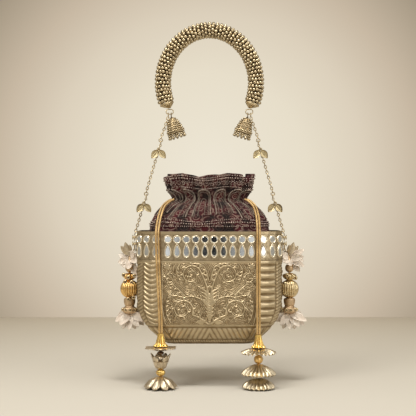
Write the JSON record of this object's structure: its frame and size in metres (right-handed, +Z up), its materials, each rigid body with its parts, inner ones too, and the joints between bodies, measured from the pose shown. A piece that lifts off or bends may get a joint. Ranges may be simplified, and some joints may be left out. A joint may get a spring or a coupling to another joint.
{
  "type": "potli bag",
  "caption": "Drawstring pouch of pleated brocade in an embossed metal basket with mirrors, hung on chains from a beaded horseshoe handle, with bell, leaf and bead charms.",
  "frame": {"origin": "underside of the handle's top, where a hand or a hook holds the bag", "axes": "+Z up as the bag hangs, +X to the right seen from the front, -Y to the front"},
  "size_m": [0.1988, 0.1145, 0.3846],
  "materials": {
    "ball_gold": "metallised balls, antique pale gold",
    "antique_gold": "antiqued, satin",
    "leaf_gold": "antiqued, satin",
    "bright_bead": "metallised, bright gold",
    "pale_bead": "metallised, antique gold",
    "dark_bead": "glossy",
    "tan_bead": "matt",
    "petal_cloth": "stiffened translucent cloth",
    "brocade": "woven brocade",
    "black_cloth": "plain cloth",
    "cord_gold": "twisted metallic cord"
  },
  "bodies": {
    "handle": {"beaded_grip": "ball_gold", "end_cap_left": "antique_gold", "end_cap_right": "antique_gold", "eye_ring_left": "antique_gold", "eye_ring_right": "antique_gold"},
    "jhumka_left": {"jhumka_dome_left": "antique_gold", "jhumka_fringe_left": "ball_gold"},
    "chain_left_upper": {"chain_left_upper": "antique_gold"},
    "chain_left_middle": {"chain_left_middle": "antique_gold"},
    "chain_left_lower": {"chain_left_lower": "antique_gold"},
    "leaf_left_middle_inner": {"leaf_left_middle_inner": "leaf_gold"},
    "leaf_left_middle_outer": {"leaf_left_middle_outer": "leaf_gold"},
    "leaf_left_lower_inner": {"leaf_left_lower_inner": "leaf_gold"},
    "leaf_left_lower_outer": {"leaf_left_lower_outer": "leaf_gold"},
    "jhumka_right": {"jhumka_dome_right": "antique_gold", "jhumka_fringe_right": "ball_gold"},
    "chain_right_upper": {"chain_right_upper": "antique_gold"},
    "chain_right_middle": {"chain_right_middle": "antique_gold"},
    "chain_right_lower": {"chain_right_lower": "antique_gold"},
    "leaf_right_middle_inner": {"leaf_right_middle_inner": "leaf_gold"},
    "leaf_right_middle_outer": {"leaf_right_middle_outer": "leaf_gold"},
    "leaf_right_lower_inner": {"leaf_right_lower_inner": "leaf_gold"},
    "leaf_right_lower_outer": {"leaf_right_lower_outer": "leaf_gold"},
    "basket": {"basket_shell": "antique_gold", "mirror_band": "antique_gold", "lining": "black_cloth", "pouch": "brocade", "lug_left": "antique_gold", "lug_right": "antique_gold", "cord_left_inner": "cord_gold", "cord_left_outer": "cord_gold", "cord_right_inner": "cord_gold", "cord_right_outer": "cord_gold", "tassel_left_cone": "bright_bead", "tassel_left_petal_disc": "pale_bead", "tassel_left_neck_bead": "dark_bead", "tassel_left_round_bead": "pale_bead", "tassel_left_tulip_cup": "pale_bead", "tassel_left_gold_bead": "bright_bead", "tassel_left_petal_skirt": "pale_bead", "tassel_right_cone": "bright_bead", "tassel_right_fluted_disc": "bright_bead", "tassel_right_round_bead": "pale_bead", "tassel_right_umbrella": "bright_bead", "tassel_right_shell_disc": "pale_bead"},
    "side_ring_left": {"side_ring_left": "antique_gold"},
    "side_tassel_left": {"side_tassel_left_leaf_pair": "leaf_gold", "side_tassel_left_flower": "petal_cloth", "side_tassel_left_matte_bead": "tan_bead", "side_tassel_left_big_bead": "bright_bead", "side_tassel_left_spool": "pale_bead", "side_tassel_left_petal_skirt": "petal_cloth"},
    "side_ring_right": {"side_ring_right": "antique_gold"},
    "side_tassel_right": {"side_tassel_right_leaf_pair": "leaf_gold", "side_tassel_right_flower": "petal_cloth", "side_tassel_right_matte_bead": "tan_bead", "side_tassel_right_big_bead": "bright_bead", "side_tassel_right_spool": "pale_bead", "side_tassel_right_petal_skirt": "petal_cloth"}
  },
  "joints": [
    {"name": "jhumka_left_swing", "type": "hinge", "parent": "handle", "child": "jhumka_left", "pos_m": [-0.04096, 0, -0.08118], "axis": [1, 0, 0], "range_deg": [-35, 35]},
    {"name": "jhumka_right_swing", "type": "hinge", "parent": "handle", "child": "jhumka_right", "pos_m": [0.04096, 0, -0.08118], "axis": [1, 0, 0], "range_deg": [-35, 35]},
    {"name": "chain_left_upper_swing", "type": "hinge", "parent": "handle", "child": "chain_left_upper", "pos_m": [-0.04416, 0, -0.08118], "axis": [1, 0, 0], "range_deg": [-30, 30]},
    {"name": "chain_left_middle_swing", "type": "hinge", "parent": "chain_left_upper", "child": "chain_left_middle", "pos_m": [-0.05218, 0, -0.11068], "axis": [1, 0, 0], "range_deg": [-30, 30]},
    {"name": "chain_left_lower_swing", "type": "hinge", "parent": "chain_left_middle", "child": "chain_left_lower", "pos_m": [-0.06779, 0, -0.16808], "axis": [1, 0, 0], "range_deg": [-30, 30]},
    {"name": "chain_right_upper_swing", "type": "hinge", "parent": "handle", "child": "chain_right_upper", "pos_m": [0.04416, 0, -0.08118], "axis": [1, 0, 0], "range_deg": [-30, 30]},
    {"name": "chain_right_middle_swing", "type": "hinge", "parent": "chain_right_upper", "child": "chain_right_middle", "pos_m": [0.05218, 0, -0.11068], "axis": [1, 0, 0], "range_deg": [-30, 30]},
    {"name": "chain_right_lower_swing", "type": "hinge", "parent": "chain_right_middle", "child": "chain_right_lower", "pos_m": [0.06779, 0, -0.16808], "axis": [1, 0, 0], "range_deg": [-30, 30]},
    {"name": "leaf_left_middle_inner_swing", "type": "hinge", "parent": "chain_left_middle", "child": "leaf_left_middle_inner", "pos_m": [-0.05444, 0, -0.11898], "axis": [0, 1, 0], "range_deg": [-30, 0]},
    {"name": "leaf_left_middle_outer_swing", "type": "hinge", "parent": "chain_left_middle", "child": "leaf_left_middle_outer", "pos_m": [-0.05444, 0, -0.11898], "axis": [0, 1, 0], "range_deg": [0, 30]},
    {"name": "leaf_left_lower_inner_swing", "type": "hinge", "parent": "chain_left_lower", "child": "leaf_left_lower_inner", "pos_m": [-0.07005, 0, -0.17638], "axis": [0, 1, 0], "range_deg": [-30, 0]},
    {"name": "leaf_left_lower_outer_swing", "type": "hinge", "parent": "chain_left_lower", "child": "leaf_left_lower_outer", "pos_m": [-0.07005, 0, -0.17638], "axis": [0, 1, 0], "range_deg": [0, 30]},
    {"name": "leaf_right_middle_inner_swing", "type": "hinge", "parent": "chain_right_middle", "child": "leaf_right_middle_inner", "pos_m": [0.05444, 0, -0.11898], "axis": [0, 1, 0], "range_deg": [0, 30]},
    {"name": "leaf_right_middle_outer_swing", "type": "hinge", "parent": "chain_right_middle", "child": "leaf_right_middle_outer", "pos_m": [0.05444, 0, -0.11898], "axis": [0, 1, 0], "range_deg": [-30, 0]},
    {"name": "leaf_right_lower_inner_swing", "type": "hinge", "parent": "chain_right_lower", "child": "leaf_right_lower_inner", "pos_m": [0.07005, 0, -0.17638], "axis": [0, 1, 0], "range_deg": [0, 30]},
    {"name": "leaf_right_lower_outer_swing", "type": "hinge", "parent": "chain_right_lower", "child": "leaf_right_lower_outer", "pos_m": [0.07005, 0, -0.17638], "axis": [0, 1, 0], "range_deg": [-30, 0]},
    {"name": "basket_swing", "type": "hinge", "parent": "chain_left_lower", "child": "basket", "pos_m": [-0.08, 0, -0.21298], "axis": [1, 0, 0], "range_deg": [-30, 30]},
    {"name": "side_ring_left_swing", "type": "hinge", "parent": "basket", "child": "side_ring_left", "pos_m": [-0.08, 0, -0.21998], "axis": [1, 0, 0], "range_deg": [-35, 35]},
    {"name": "side_tassel_left_swing", "type": "hinge", "parent": "side_ring_left", "child": "side_tassel_left", "pos_m": [-0.08, 0, -0.22638], "axis": [0, 1, 0], "range_deg": [0, 35]},
    {"name": "side_ring_right_swing", "type": "hinge", "parent": "basket", "child": "side_ring_right", "pos_m": [0.08, 0, -0.21998], "axis": [1, 0, 0], "range_deg": [-35, 35]},
    {"name": "side_tassel_right_swing", "type": "hinge", "parent": "side_ring_right", "child": "side_tassel_right", "pos_m": [0.08, 0, -0.22638], "axis": [0, -1, 0], "range_deg": [0, 35]}
  ],
  "couplings": [
    {"joint": "chain_right_upper_swing", "follows": "chain_left_upper_swing", "ratio": 1},
    {"joint": "chain_right_middle_swing", "follows": "chain_left_middle_swing", "ratio": 1},
    {"joint": "chain_right_lower_swing", "follows": "chain_left_lower_swing", "ratio": 1}
  ]
}
